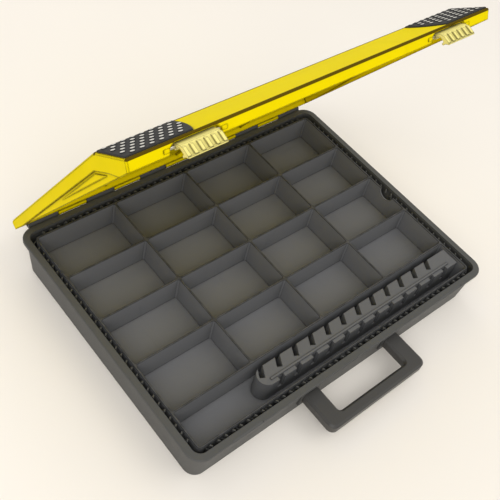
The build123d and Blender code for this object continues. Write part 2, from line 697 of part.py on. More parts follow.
def main():
    """Build every piece at rest, the lid open and the latches ajar, and write each to its own file."""
    pieces = {
        "base_shell": base_shell(),
        "handle": handle(),
        "compartment_tray": compartment_tray(),
        "tool_rack": tool_rack(),
        "hinge_rod": hinge_rod(),
        "lid_shell": opened(lid_shell()),
    }
    for name, side in (("left", -1), ("right", 1)):
        pieces[f"grip_pad_{name}"] = opened(grip_pad(side))
        pieces[f"latch_{name}"] = opened(ajar(latch(side)))
        pieces[f"latch_pin_{name}"] = opened(latch_pin(side))
    os.makedirs("parts", exist_ok=True)
    for name, piece in pieces.items():
        export_step(piece, f"parts/{name}.step")


if __name__ == "__main__":
    main()
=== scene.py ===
"""A hinged parts case on a pale studio floor: finishes, studs, groove ribs, lamps and camera."""
import json
import math

import bpy
from bpy.props import FloatProperty, FloatVectorProperty, IntProperty, PointerProperty
from mathutils import Euler, Matrix, Vector


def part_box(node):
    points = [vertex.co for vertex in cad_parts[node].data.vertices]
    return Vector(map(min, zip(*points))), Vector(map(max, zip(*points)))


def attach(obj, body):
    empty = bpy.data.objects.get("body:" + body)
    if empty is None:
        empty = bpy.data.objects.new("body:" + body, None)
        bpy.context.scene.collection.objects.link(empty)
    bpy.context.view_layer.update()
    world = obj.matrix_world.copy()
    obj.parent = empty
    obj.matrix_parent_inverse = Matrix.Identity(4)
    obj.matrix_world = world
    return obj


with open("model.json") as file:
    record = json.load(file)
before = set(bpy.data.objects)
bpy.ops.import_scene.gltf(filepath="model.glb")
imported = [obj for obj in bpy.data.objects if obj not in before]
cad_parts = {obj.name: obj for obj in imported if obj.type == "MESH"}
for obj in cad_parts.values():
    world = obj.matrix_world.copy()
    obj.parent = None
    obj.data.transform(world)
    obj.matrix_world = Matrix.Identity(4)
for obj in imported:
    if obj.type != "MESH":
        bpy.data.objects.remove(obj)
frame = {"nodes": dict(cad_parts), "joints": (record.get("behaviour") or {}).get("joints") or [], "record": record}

bl_info = {
    "name": "Parts case studio",
    "version": (1, 0, 0),
    "blender": (4, 5, 0),
    "location": "3D View > Sidebar > Parts case",
    "description": "Finishes a hinged parts case and sets it on a plain studio floor",
    "category": "Object",
}

MM = 0.001

# The lid's front slope when the lid is shut: reach from the hinge axis, height above the base's rim
HINGE = next(joint for joint in frame["joints"] if joint["name"] == "lid_hinge")
HINGE_Y, RIM_Z = HINGE["pos_m"][1:]
LID_OPEN = math.radians(54.0)
NOSE_REACH = HINGE_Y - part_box("base_shell")[0][1] + 1.5 * MM
NOSE_HIGH = 9.0 * MM
RIDGE_REACH = NOSE_REACH - 41.0 * MM
RIDGE_HIGH = 23.0 * MM

# The grip pads on that slope
PAD_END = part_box("lid_shell")[1][0] - 1.5 * MM
PAD_LENGTH = 61.5 * MM
PAD_SHORTER_BELOW = 8.0 * MM
PAD_BULGE = 3.0 * MM
PAD_MARGIN = 2.5 * MM
PAD_PROUD = 1.2 * MM

# The studs on the pads: how deep they are sunk, their taper, and their gap to the outline in radii
STUD_SINK = 0.3 * MM
STUD_TAPER = 0.72
STUD_CLEAR = 1.15

# The groove between the tray and the rim, how far below the tray's top its ribs stand, their taper
GROOVE_WIDTH = 5.2 * MM
GROOVE_RIB_BELOW = 0.6 * MM
GROOVE_RIB_TAPER = 0.6

# The dirt on the tray's top edges: its depth, its amount, and the height over which it fades in
TOP_DIRT_DEEP = 1.1 * MM
TOP_DIRT_AMOUNT = 0.9
TOP_DIRT_FADE = 0.25 * MM

# The dark lines along the lid's nose and ridge: their reach from the edge, and where they fade
EDGE_LINE = 2.3 * MM
EDGE_LINE_FADE = MM / 3

# All mouldings: how sharply a turned normal counts as an edge, how strong wear and dirt are where
# their patches are thinnest, the grain's depth, and the plastic's index of refraction
EDGE_GAIN = 12.0
PATCH_LEAST = 0.35
GRAIN_DEEP = 0.2 * MM
PLASTIC_IOR = 1.49

# The slow cloud in a moulding: its size, its darkest and palest shade, and its share of roughness
CLOUD_SIZE = 50.0 * MM
CLOUD_SHADES = (0.93, 1.07)
CLOUD_ROUGH = 0.14

# Scuffs: the noise above which they show, how fast they build up, and their pull on the colour and
# the roughness
SCUFF_LEVEL = 0.62
SCUFF_GAIN = 6.0
SCUFF_COLOUR = 0.35
SCUFF_ROUGH = 0.25

# The studio: each lamp's name, place and share of the main lamp's power
LAMPS = (
    ("Key lamp", (-1.1, -0.9, 1.7), 1.0),
    ("Fill lamp", (0.8, -1.0, 2.0), 0.45),
    ("Back lamp", (0.3, 1.6, 1.5), 0.4),
)
LAMP_SIZE = 1.6
LAMP_AIM = (0.0, 0.0, 0.08)
SKY_COLOUR = (1.0, 0.99, 0.97)
SKY_STRENGTH = 0.66
FLOOR_RADIUS = 9.0
FLOOR_SIDES = 64
FLOOR_DROP = 0.2 * MM

# The camera, fitted to the picture's corners and divider crossings; its turn is in degrees
CAMERA_PLACE = (-0.3980, -0.2983, 0.6354)
CAMERA_TURN = (38.86, -10.15, -39.39)
CAMERA_LENS = 56.75
CAMERA_NEAR = 0.01
CAMERA_FAR = 50.0

# Finishes. Edge and grain multiply the user's edge rounding and grain size. Reach is how far the
# grime and painted shade reach out of a corner, in metres. Gloss is the shader's specular level.
CASE_FINISH = {
    "roughness": 0.46, "grain": 1.0, "bump": 0.5, "gloss": 0.4, "scuffs": 0.3,
    "edge": 1.2, "wear": 0.8, "wear_colour": (0.030, 0.030, 0.030),
    "reach": 0.004, "grime_and_shade": 0.9, "grime_and_shade_colour": (0.02, 0.02, 0.02),
}
TRAY_FINISH = {
    "roughness": 0.52, "grain": 0.8, "bump": 0.45, "gloss": 0.35, "scuffs": 0.25,
    "edge": 1.8, "wear": 1.0, "wear_colour": (0.028, 0.028, 0.028),
    "reach": 0.003, "grime_and_shade": 0.6, "grime_and_shade_colour": (0.022, 0.022, 0.022),
}
HANDLE_FINISH = {
    "roughness": 0.38, "grain": 1.2, "bump": 0.5, "gloss": 0.5, "scuffs": 0.5,
    "edge": 1.2, "wear": 0.6, "wear_colour": (0.024, 0.022, 0.020),
    "reach": 0.006, "grime_and_shade": 0.6, "grime_and_shade_colour": (0.015, 0.014, 0.013),
}
LID_FINISH = {
    "roughness": 0.44, "grain": 0.9, "bump": 0.3, "gloss": 0.02, "scuffs": 0.15,
    "edge": 4.0, "wear": 1.0, "wear_colour": (0.10, 0.065, 0.003),
    "reach": 0.003, "grime_and_shade": 1.0, "grime_and_shade_colour": (0.05, 0.034, 0.002),
}
LATCH_FINISH = {
    "roughness": 0.40, "grain": 0.8, "bump": 0.3, "gloss": 0.25, "scuffs": 0.2,
    "edge": 2.0, "wear": 0.7, "wear_colour": (0.10, 0.07, 0.01),
    "reach": 0.005, "grime_and_shade": 1.0, "grime_and_shade_colour": (0.020, 0.016, 0.006),
}
PAD_FINISH = {
    "roughness": 0.62, "grain": 0.6, "bump": 0.6, "gloss": 0.35, "scuffs": 0.2,
    "edge": 1.0, "wear": 0.3, "wear_colour": (0.08, 0.078, 0.07),
    "reach": 0.003, "grime_and_shade": 0.6, "grime_and_shade_colour": (0.006, 0.006, 0.006),
}
# The stud tops: a pale grey that is a painted highlight on each stud. Its paler wear colour lightens the tops'
# rims further, as more painted highlight.
STUD_HIGHLIGHT_FINISH = {
    "roughness": 0.55, "grain": 0.5, "bump": 0.4, "gloss": 0.4, "scuffs": 0.4,
    "edge": 1.0, "wear": 0.5, "wear_colour": (0.80, 0.78, 0.72),
    "reach": 0.002, "grime_and_shade": 0.4, "grime_and_shade_colour": (0.20, 0.19, 0.17),
}


# Settings


def slot_colour(name):
    """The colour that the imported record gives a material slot."""
    for row in frame["record"]["materials"]:
        if row["slot"] == name:
            return tuple(row["base_color"])
    raise ValueError(f"the record has no slot named {name}")


def shade(colour, by):
    """A colour made lighter or darker by a factor."""
    return tuple(min(1.0, channel * by) for channel in colour)


def colour_setting(name, description, default):
    """A colour that a user can change."""
    return FloatVectorProperty(
        name=name, description=description, subtype="COLOR", size=3,
        min=0.0, max=1.0, default=default,
    )


def length_setting(name, description, millimetres):
    """A length that a user can change, kept in metres."""
    return FloatProperty(
        name=name, description=description, unit="LENGTH", subtype="DISTANCE",
        min=0.0, default=millimetres * MM,
    )


class PartsCaseColours(bpy.types.PropertyGroup):
    """Colours of the case's mouldings and its studio."""

    case: colour_setting("Case", "Base shell", slot_colour("case_grey"))
    # The tray's grey is set paler and cooler than the bins' own grey: painted light that offsets the shade deep in
    # the bins and the warm light bounced onto them.
    tray: colour_setting("Tray", "Compartment tray", (0.155, 0.156, 0.161))
    rack: colour_setting("Rack", "Tool rack", (0.120, 0.121, 0.125))
    handle: colour_setting("Handle", "Carrying handle", slot_colour("handle_black"))
    lid: colour_setting("Lid", "Wedge lid", (0.82, 0.655, 0.0))
    latch: colour_setting("Latch", "Ribbed latches", (0.86, 0.76, 0.24))
    pad: colour_setting("Pad", "Grip pads", slot_colour("pad_black"))
    # The stud tops' pale colour is a painted highlight on each stud.
    stud: colour_setting("Stud", "Tops of the grip studs", (0.66, 0.64, 0.58))
    steel: colour_setting("Steel", "Hinge rod and latch pins", slot_colour("pin_steel"))
    floor: colour_setting("Floor", "Studio floor", (0.89, 0.84, 0.77))


class PartsCaseSizes(bpy.types.PropertyGroup):
    """Sizes of the studs, the groove's ribs and the surface detail."""

    stud_along: length_setting("Stud pitch along", "Distance between studs along the case", 7.6)
    stud_across: length_setting("Stud pitch across", "Distance between rows up the slope", 6.4)
    stud_width: length_setting("Stud width", "Width of a stud at its foot", 4.9)
    stud_height: length_setting("Stud height", "How far a stud stands above the pad", 0.7)
    stud_sides: IntProperty(
        name="Stud sides", description="Flat sides of a stud", min=5, max=24, default=10
    )
    rib_pitch: length_setting("Rib pitch", "Distance between the groove's slanted ribs", 8.0)
    rib_thick: length_setting("Rib thickness", "Thickness of a groove rib at its foot", 2.2)
    rib_high: length_setting("Rib height", "How deep the groove's slanted ribs are", 3.0)
    rib_slant: FloatProperty(
        name="Rib slant", description="Turn of a groove rib in degrees", default=36.0
    )
    edge_round: length_setting("Edge rounding", "Apparent rounding of moulded edges", 0.5)
    grain_size: length_setting("Grain size", "Size of the moulded grain", 0.7)
    lamp_power: FloatProperty(
        name="Lamp power", description="Power of the main lamp", min=0.0, default=20.0
    )


# Nodes that both kinds of tree use


def feed(tree, value, socket):
    """Link a node's input to another node's output, or set it to a plain value."""
    if isinstance(value, bpy.types.NodeSocket):
        tree.links.new(value, socket)
    else:
        socket.default_value = value


def math_node(tree, operation, first, second, clamp=False):
    """A maths node fed by sockets or numbers; returns its output."""
    node = tree.nodes.new("ShaderNodeMath")
    node.operation = operation
    node.use_clamp = clamp
    feed(tree, first, node.inputs[0])
    feed(tree, second, node.inputs[1])
    return node.outputs[0]


def floor_node(tree, value):
    """A value rounded down; returns its output."""
    return math_node(tree, "FLOOR", value, 0.0)


def scale_and_add(tree, value, factor, offset):
    """A value times a factor, plus an offset; returns its output."""
    return math_node(tree, "ADD", math_node(tree, "MULTIPLY", value, factor), offset)


def vector_node(tree, x, y, z):
    """A vector made of sockets or numbers; returns its output."""
    node = tree.nodes.new("ShaderNodeCombineXYZ")
    for value, socket in zip((x, y, z), node.inputs):
        feed(tree, value, socket)
    return node.outputs[0]


def vector_maths(tree, operation, first, second):
    """A vector maths node fed by sockets or vectors; returns its output sockets."""
    node = tree.nodes.new("ShaderNodeVectorMath")
    node.operation = operation
    feed(tree, first, node.inputs[0])
    feed(tree, second, node.inputs[1])
    return node.outputs


def axes_of(tree, vector):
    """A vector's X, Y and Z sockets."""
    node = tree.nodes.new("ShaderNodeSeparateXYZ")
    tree.links.new(vector, node.inputs[0])
    return node.outputs


# Shader groups


def group_start(name, inputs, outputs):
    """An empty shader group with named sockets: (tree, its input sockets, its output node)."""
    tree = bpy.data.node_groups.new(name, "ShaderNodeTree")
    for label, kind, default in inputs:
        socket = tree.interface.new_socket(name=label, in_out="INPUT", socket_type=kind)
        socket.default_value = default
    for label, kind in outputs:
        tree.interface.new_socket(name=label, in_out="OUTPUT", socket_type=kind)
    return tree, tree.nodes.new("NodeGroupInput").outputs, tree.nodes.new("NodeGroupOutput")


def object_place(tree):
    """The place of a point in its piece's own coordinates."""
    return tree.nodes.new("ShaderNodeTexCoord").outputs["Object"]


def noise_node(tree, scale, detail, stretch=None):
    """Noise on Object coordinates; stretch scales the axes. Returns its value output."""
    place = object_place(tree)
    if stretch:
        mapping = tree.nodes.new("ShaderNodeMapping")
        mapping.inputs["Scale"].default_value = stretch
        tree.links.new(place, mapping.inputs["Vector"])
        place = mapping.outputs["Vector"]
    noise = tree.nodes.new("ShaderNodeTexNoise")
    noise.inputs["Detail"].default_value = detail
    feed(tree, scale, noise.inputs["Scale"])
    tree.links.new(place, noise.inputs["Vector"])
    return noise.outputs["Fac"]


def patchy_mask(tree, mask, patches, amount):
    """A mask broken up into patches and scaled by an amount; returns its output."""
    broken = math_node(tree, "MULTIPLY", mask, patches)
    return math_node(tree, "MULTIPLY", broken, amount, clamp=True)


def grain_group():
    """Moulded grain: a fine height and a slow cloud that varies colour and gloss."""
    tree, into, out = group_start(
        "Moulded grain",
        [("Grain Size", "NodeSocketFloat", 0.0007), ("Cloud Size", "NodeSocketFloat", 0.06)],
        [("Height", "NodeSocketFloat"), ("Cloud", "NodeSocketFloat")],
    )
    fine = noise_node(tree, math_node(tree, "DIVIDE", 1.0, into["Grain Size"]), detail=2.0)
    broad = noise_node(tree, math_node(tree, "DIVIDE", 1.0, into["Cloud Size"]), detail=4.0)
    tree.links.new(fine, out.inputs["Height"])
    tree.links.new(broad, out.inputs["Cloud"])
    return tree


def edge_group():
    """Rounded edges: a softened normal, and a mask of the edges broken up by wear."""
    tree, into, out = group_start(
        "Edge wear",
        [("Radius", "NodeSocketFloat", 0.0005), ("Amount", "NodeSocketFloat", 1.0)],
        [("Wear", "NodeSocketFloat"), ("Normal", "NodeSocketVector")],
    )
    bevel = tree.nodes.new("ShaderNodeBevel")
    bevel.samples = 6
    tree.links.new(into["Radius"], bevel.inputs["Radius"])
    flat = tree.nodes.new("ShaderNodeNewGeometry").outputs["True Normal"]
    likeness = vector_maths(tree, "DOT_PRODUCT", bevel.outputs["Normal"], flat)["Value"]
    turned = math_node(tree, "SUBTRACT", 1.0, likeness, clamp=True)
    edge = math_node(tree, "MULTIPLY", turned, EDGE_GAIN, clamp=True)
    cloud = noise_node(tree, scale=180.0, detail=5.0)
    patches = math_node(tree, "ADD", cloud, PATCH_LEAST, clamp=True)
    tree.links.new(patchy_mask(tree, edge, patches, into["Amount"]), out.inputs["Wear"])
    tree.links.new(bevel.outputs["Normal"], out.inputs["Normal"])
    return tree


def corner_group():
    """Grime and painted shade: inside corners and slots darkened in patches, as far as the occlusion reaches."""
    tree, into, out = group_start(
        "Corner grime and painted shade",
        [("Reach", "NodeSocketFloat", 0.006), ("Amount", "NodeSocketFloat", 1.0)],
        [("Grime And Painted Shade", "NodeSocketFloat")],
    )
    hollow = tree.nodes.new("ShaderNodeAmbientOcclusion")
    hollow.samples = 8
    tree.links.new(into["Reach"], hollow.inputs["Distance"])
    shut = math_node(tree, "SUBTRACT", 1.0, hollow.outputs["AO"], clamp=True)
    cloud = noise_node(tree, scale=60.0, detail=4.0)
    patches = scale_and_add(tree, cloud, factor=0.6, offset=0.6)
    tree.links.new(patchy_mask(tree, shut, patches, into["Amount"]), out.inputs["Grime And Painted Shade"])
    return tree


def scuff_group():
    """Fine handling scratches, as a mask that dulls the gloss."""
    tree, into, out = group_start(
        "Handling scuffs",
        [("Amount", "NodeSocketFloat", 0.5)],
        [("Scuff", "NodeSocketFloat")],
    )
    long_way = noise_node(tree, scale=90.0, detail=6.0, stretch=(0.12, 1.0, 1.0))
    cross_way = noise_node(tree, scale=70.0, detail=6.0, stretch=(1.0, 0.15, 0.3))
    both = math_node(tree, "MAXIMUM", long_way, cross_way)
    peaks = math_node(tree, "SUBTRACT", both, SCUFF_LEVEL, clamp=True)
    thin = math_node(tree, "MULTIPLY", peaks, SCUFF_GAIN, clamp=True)
    scuff = math_node(tree, "MULTIPLY", thin, into["Amount"], clamp=True)
    tree.links.new(scuff, out.inputs["Scuff"])
    return tree


def top_group():
    """Dirt rubbed into top edges: a mask of what stands above a level in the piece's height."""
    tree, into, out = group_start(
        "Rubbed top edges",
        [("Level", "NodeSocketFloat", 0.04), ("Amount", "NodeSocketFloat", 1.0)],
        [("Dirt", "NodeSocketFloat")],
    )
    height = axes_of(tree, object_place(tree))["Z"]
    above = math_node(tree, "SUBTRACT", height, into["Level"])
    mask = math_node(tree, "MULTIPLY", above, 1.0 / TOP_DIRT_FADE, clamp=True)
    cloud = noise_node(tree, scale=120.0, detail=4.0)
    patches = math_node(tree, "ADD", cloud, PATCH_LEAST, clamp=True)
    tree.links.new(patchy_mask(tree, mask, patches, into["Amount"]), out.inputs["Dirt"])
    return tree


def line_group():
    """A line along a rounded edge: a mask of what lies within a radius of an axis along X."""
    tree, into, out = group_start(
        "Edge line",
        [("Axis", "NodeSocketVector", (0.0, 0.0, 0.0)), ("Radius", "NodeSocketFloat", 0.001)],
        [("Line", "NodeSocketFloat")],
    )
    in_section = vector_maths(tree, "MULTIPLY", object_place(tree), (0.0, 1.0, 1.0))["Vector"]
    apart = vector_maths(tree, "DISTANCE", in_section, into["Axis"])["Value"]
    inside = math_node(tree, "SUBTRACT", into["Radius"], apart)
    line = math_node(tree, "MULTIPLY", inside, 1.0 / EDGE_LINE_FADE, clamp=True)
    tree.links.new(line, out.inputs["Line"])
    return tree


def place_group(tree, name, make, values):
    """A node of a shared group, made the first time it is asked for; returns its outputs."""
    node = tree.nodes.new("ShaderNodeGroup")
    node.node_tree = bpy.data.node_groups.get(name) or make()
    for label, value in values.items():
        node.inputs[label].default_value = value
    return node.outputs


# Materials


def mix_colour(tree, factor, first, second):
    """A colour mix fed by sockets or colours; returns its output."""
    node = tree.nodes.new("ShaderNodeMix")
    node.data_type = "RGBA"
    tree.links.new(factor, node.inputs["Factor"])
    for colour, socket in ((first, node.inputs[6]), (second, node.inputs[7])):
        feed(tree, (*colour, 1.0) if isinstance(colour, tuple) else colour, socket)
    return node.outputs[2]


def new_material(name):
    """A fresh material: (material, its node tree, its shader)."""
    material = bpy.data.materials.new(name)
    material.use_nodes = True
    return material, material.node_tree, material.node_tree.nodes["Principled BSDF"]


def add_bump(tree, shader, height, strength, depth, under=None):
    """Raise a shader's surface by a height, on top of a softened normal where there is one."""
    bump = tree.nodes.new("ShaderNodeBump")
    bump.inputs["Strength"].default_value = strength
    bump.inputs["Distance"].default_value = depth
    tree.links.new(height, bump.inputs["Height"])
    if under is not None:
        tree.links.new(under, bump.inputs["Normal"])
    tree.links.new(bump.outputs["Normal"], shader.inputs["Normal"])


def moulded_material(name, colour, finish):
    """A moulded plastic or rubber in a colour, with one of the finishes above."""
    sizes = bpy.context.scene.parts_case_sizes
    material, tree, shader = new_material(name)
    material.diffuse_color = (*colour, 1.0)
    grain = place_group(
        tree, "Moulded grain", grain_group,
        {"Grain Size": sizes.grain_size * finish["grain"], "Cloud Size": CLOUD_SIZE},
    )
    edge = place_group(
        tree, "Edge wear", edge_group,
        {"Radius": sizes.edge_round * finish["edge"], "Amount": finish["wear"]},
    )
    corner = place_group(
        tree, "Corner grime and painted shade", corner_group, {"Reach": finish["reach"], "Amount": finish["grime_and_shade"]}
    )
    scuff = place_group(tree, "Handling scuffs", scuff_group, {"Amount": finish["scuffs"]})

    dark, pale = (shade(colour, by) for by in CLOUD_SHADES)
    clouded = mix_colour(tree, grain["Cloud"], dark, pale)
    worn = mix_colour(tree, edge["Wear"], clouded, finish["wear_colour"])
    # Grime and painted shade: inside corners and slots darken, in patches, towards the finish's dark colour.
    dirty_and_shaded = mix_colour(tree, corner["Grime And Painted Shade"], worn, finish["grime_and_shade_colour"])
    faint = math_node(tree, "MULTIPLY", scuff["Scuff"], SCUFF_COLOUR)
    scuffed = mix_colour(tree, faint, dirty_and_shaded, finish["wear_colour"])
    tree.links.new(scuffed, shader.inputs["Base Color"])

    cloudy = scale_and_add(tree, grain["Cloud"], CLOUD_ROUGH, finish["roughness"])
    dulled = math_node(tree, "MULTIPLY", scuff["Scuff"], SCUFF_ROUGH)
    rough = math_node(tree, "ADD", cloudy, dulled, clamp=True)
    tree.links.new(rough, shader.inputs["Roughness"])

    add_bump(tree, shader, grain["Height"], finish["bump"], GRAIN_DEEP, under=edge["Normal"])
    shader.inputs["IOR"].default_value = PLASTIC_IOR
    shader.inputs["Specular IOR Level"].default_value = finish["gloss"]
    return material


def darken_under(material, mask, colour):
    """Mix a dark colour over a moulded material's own colour where a mask says."""
    tree = material.node_tree
    socket = tree.nodes["Principled BSDF"].inputs["Base Color"]
    plain = socket.links[0].from_socket
    tree.links.new(mix_colour(tree, mask, plain, colour), socket)


def add_top_dirt(material, level, colour):
    """Darken a moulded material's top edges, from a level up."""
    values = {"Level": level, "Amount": TOP_DIRT_AMOUNT}
    dirt = place_group(material.node_tree, "Rubbed top edges", top_group, values)
    darken_under(material, dirt["Dirt"], colour)


def add_edge_line(material, place, colour):
    """Draw a dark line on a moulded material along a rounded edge that runs along X."""
    values = {"Axis": place, "Radius": EDGE_LINE}
    line = place_group(material.node_tree, "Edge line", line_group, values)
    darken_under(material, line["Line"], colour)


def steel_material(name, colour):
    """Drawn steel wire: bright, with length-wise draw lines."""
    material, tree, shader = new_material(name)
    lines = noise_node(tree, scale=900.0, detail=3.0, stretch=(0.05, 1.0, 1.0))
    drawn = mix_colour(tree, lines, shade(colour, 0.8), shade(colour, 1.15))
    tree.links.new(drawn, shader.inputs["Base Color"])
    rough = scale_and_add(tree, lines, factor=0.2, offset=0.22)
    tree.links.new(rough, shader.inputs["Roughness"])
    add_bump(tree, shader, lines, strength=0.3, depth=0.1 * MM)
    shader.inputs["Metallic"].default_value = 1.0
    return material


def paper_material(name, colour):
    """Matt studio paper with a faint cloud in its colour."""
    material, tree, shader = new_material(name)
    cloud = noise_node(tree, scale=3.0, detail=3.0)
    clouded = mix_colour(tree, cloud, shade(colour, 0.98), shade(colour, 1.02))
    tree.links.new(clouded, shader.inputs["Base Color"])
    shader.inputs["Roughness"].default_value = 0.9
    shader.inputs["Specular IOR Level"].default_value = 0.2
    return material


def dress(node_names, material):
    """Give CAD nodes one material."""
    for name in node_names:
        for slot in frame["nodes"][name].material_slots:
            slot.material = material


# Geometry nodes


def geometry_start(name, inputs):
    """An empty geometry tree with named inputs: (tree, its input sockets, its output node)."""
    tree = bpy.data.node_groups.new(name, "GeometryNodeTree")
    tree.interface.new_socket(name="Geometry", in_out="INPUT", socket_type="NodeSocketGeometry")
    for kind, labels in inputs.items():
        for label in labels:
            tree.interface.new_socket(name=label, in_out="INPUT", socket_type=kind)
    tree.interface.new_socket(name="Geometry", in_out="OUTPUT", socket_type="NodeSocketGeometry")
    return tree, tree.nodes.new("NodeGroupInput").outputs, tree.nodes.new("NodeGroupOutput")


def point_axes(tree):
    """The X, Y and Z sockets of each point's place."""
    return axes_of(tree, tree.nodes.new("GeometryNodeInputPosition").outputs[0])


def cone_node(tree, sides, foot, tip, depth):
    """A cut-off cone from its number of sides, two radii and depth; returns its outputs."""
    node = tree.nodes.new("GeometryNodeMeshCone")
    feed(tree, sides, node.inputs["Vertices"])
    feed(tree, foot, node.inputs["Radius Bottom"])
    feed(tree, tip, node.inputs["Radius Top"])
    feed(tree, depth, node.inputs["Depth"])
    return node.outputs


def move_points(tree, points, how, vector):
    """Points moved by an Offset or to a Position; returns their output."""
    node = tree.nodes.new("GeometryNodeSetPosition")
    tree.links.new(points, node.inputs["Geometry"])
    tree.links.new(vector, node.inputs[how])
    return node.outputs["Geometry"]


def transformed(tree, geometry, settings):
    """Geometry with a Translation, Rotation or Scale; returns its output."""
    node = tree.nodes.new("GeometryNodeTransform")
    tree.links.new(geometry, node.inputs["Geometry"])
    for label, value in settings.items():
        feed(tree, value, node.inputs[label])
    return node.outputs["Geometry"]


def copies_on_points(tree, points, shape, turn=None):
    """A real copy of a shape on each point, turned by a vector where there is one."""
    node = tree.nodes.new("GeometryNodeInstanceOnPoints")
    tree.links.new(points, node.inputs["Points"])
    tree.links.new(shape, node.inputs["Instance"])
    if turn is not None:
        tree.links.new(turn, node.inputs["Rotation"])
    real = tree.nodes.new("GeometryNodeRealizeInstances")
    tree.links.new(node.outputs["Instances"], real.inputs["Geometry"])
    return real.outputs["Geometry"]


def painted(tree, geometry, material, where=None):
    """Geometry with a material, on a selection of its faces where there is one."""
    node = tree.nodes.new("GeometryNodeSetMaterial")
    tree.links.new(geometry, node.inputs["Geometry"])
    tree.links.new(material, node.inputs["Material"])
    if where is not None:
        tree.links.new(where, node.inputs["Selection"])
    return node.outputs["Geometry"]


def grown_mesh(name, tree, values):
    """The mesh that a geometry node tree grows with these input values."""
    seed = bpy.data.objects.new(name + "_seed", bpy.data.meshes.new(name + "_seed"))
    bpy.context.scene.collection.objects.link(seed)
    modifier = seed.modifiers.new(name, "NODES")
    modifier.node_group = tree
    for item in tree.interface.items_tree:
        if item.in_out == "INPUT" and item.name in values:
            modifier[item.identifier] = values[item.name]
    evaluated = seed.evaluated_get(bpy.context.evaluated_depsgraph_get())
    mesh = bpy.data.meshes.new_from_object(evaluated)
    bpy.data.objects.remove(seed)
    mesh.name = name
    if not mesh.polygons:
        raise RuntimeError(f"{name} grew no faces")
    return mesh


def placed_object(scene, mesh, place):
    """An object at the origin whose mesh is set in its place."""
    mesh.transform(place)
    piece = bpy.data.objects.new(mesh.name, mesh)
    scene.collection.objects.link(piece)
    return piece


# Grip studs


def stud_grid(tree, into):
    """A grid with a point for each stud, in the pad's plane: (grid, its size across)."""
    columns = floor_node(tree, math_node(tree, "DIVIDE", into["Length"], into["Along"]))
    room = math_node(tree, "SUBTRACT", into["Width"], into["Stud Width"])
    gaps = floor_node(tree, math_node(tree, "DIVIDE", room, into["Across"]))
    across = math_node(tree, "MULTIPLY", gaps, into["Across"])
    grid = tree.nodes.new("GeometryNodeMeshGrid")
    along = math_node(tree, "MULTIPLY", columns, into["Along"])
    tree.links.new(along, grid.inputs["Size X"])
    tree.links.new(across, grid.inputs["Size Y"])
    tree.links.new(math_node(tree, "ADD", columns, 1.0), grid.inputs["Vertices X"])
    tree.links.new(math_node(tree, "ADD", gaps, 1.0), grid.inputs["Vertices Y"])
    return grid.outputs["Mesh"], across


def stagger_rows(tree, into, grid, across):
    """The grid with every other row moved half a pitch."""
    from_low = math_node(
        tree, "ADD", point_axes(tree)["Y"], math_node(tree, "MULTIPLY", across, 0.5)
    )
    row = math_node(tree, "ROUND", math_node(tree, "DIVIDE", from_low, into["Across"]), 0.0)
    odd = math_node(tree, "MODULO", row, 2.0)
    half_pitch = math_node(tree, "MULTIPLY", into["Along"], -0.5)
    step = math_node(tree, "MULTIPLY", odd, half_pitch)
    return move_points(tree, grid, "Offset", vector_node(tree, step, 0.0, 0.0))


def trim_to_pad(tree, into, points, half_stud):
    """The points inside the pad's outline: its inner end is curved, and shorter at the low edge."""
    place = point_axes(tree)
    share = math_node(tree, "ADD", math_node(tree, "DIVIDE", place["Y"], into["Width"]), 0.5)
    rest = math_node(tree, "SUBTRACT", 1.0, share)
    bow = math_node(tree, "MULTIPLY", math_node(tree, "MULTIPLY", share, rest), 4.0)
    straight = math_node(tree, "MULTIPLY", into["Length"], -0.5)
    raked = math_node(
        tree, "ADD", straight, math_node(tree, "MULTIPLY", into["Shorter"], rest)
    )
    inner = math_node(tree, "SUBTRACT", raked, math_node(tree, "MULTIPLY", into["Bulge"], bow))
    margin = math_node(tree, "MULTIPLY", half_stud, STUD_CLEAR)
    lowest = math_node(tree, "ADD", inner, margin)
    too_low = math_node(tree, "LESS_THAN", place["X"], lowest)
    half_length = math_node(tree, "MULTIPLY", into["Length"], 0.5)
    highest = math_node(tree, "SUBTRACT", half_length, margin)
    too_high = math_node(tree, "GREATER_THAN", place["X"], highest)
    trim = tree.nodes.new("GeometryNodeDeleteGeometry")
    trim.domain = "POINT"
    tree.links.new(points, trim.inputs["Geometry"])
    tree.links.new(math_node(tree, "MAXIMUM", too_low, too_high), trim.inputs["Selection"])
    return trim.outputs["Geometry"]


def turn_to_side(tree, into, points):
    """The points mirrored to the pad's side of the case."""
    place = tree.nodes.new("GeometryNodeInputPosition").outputs[0]
    mirror = vector_node(tree, into["Side"], 1.0, 1.0)
    mirrored = vector_maths(tree, "MULTIPLY", place, mirror)["Vector"]
    return move_points(tree, points, "Position", mirrored)


def stud_tree():
    """Geometry nodes: staggered rows of studs over one grip pad's outline, in the pad's plane."""
    tree, into, out = geometry_start("Grip stud rows", {
        "NodeSocketFloat": (
            "Length", "Width", "Along", "Across", "Stud Width", "Stud Height", "Shorter", "Bulge",
            "Side",
        ),
        "NodeSocketInt": ("Sides",),
        "NodeSocketMaterial": ("Rubber", "Top"),
    })
    half_stud = math_node(tree, "MULTIPLY", into["Stud Width"], 0.5)
    grid, across = stud_grid(tree, into)
    points = stagger_rows(tree, into, grid, across)
    points = trim_to_pad(tree, into, points, half_stud)
    points = turn_to_side(tree, into, points)
    tip = math_node(tree, "MULTIPLY", half_stud, STUD_TAPER)
    stud = cone_node(tree, into["Sides"], half_stud, tip, into["Stud Height"])
    studs = copies_on_points(tree, points, stud["Mesh"])
    studs = painted(tree, studs, into["Rubber"])
    # The top faces take the pale material: a painted highlight on each stud.
    studs = painted(tree, studs, into["Top"], where=stud["Top"])
    tree.links.new(studs, out.inputs["Geometry"])
    return tree


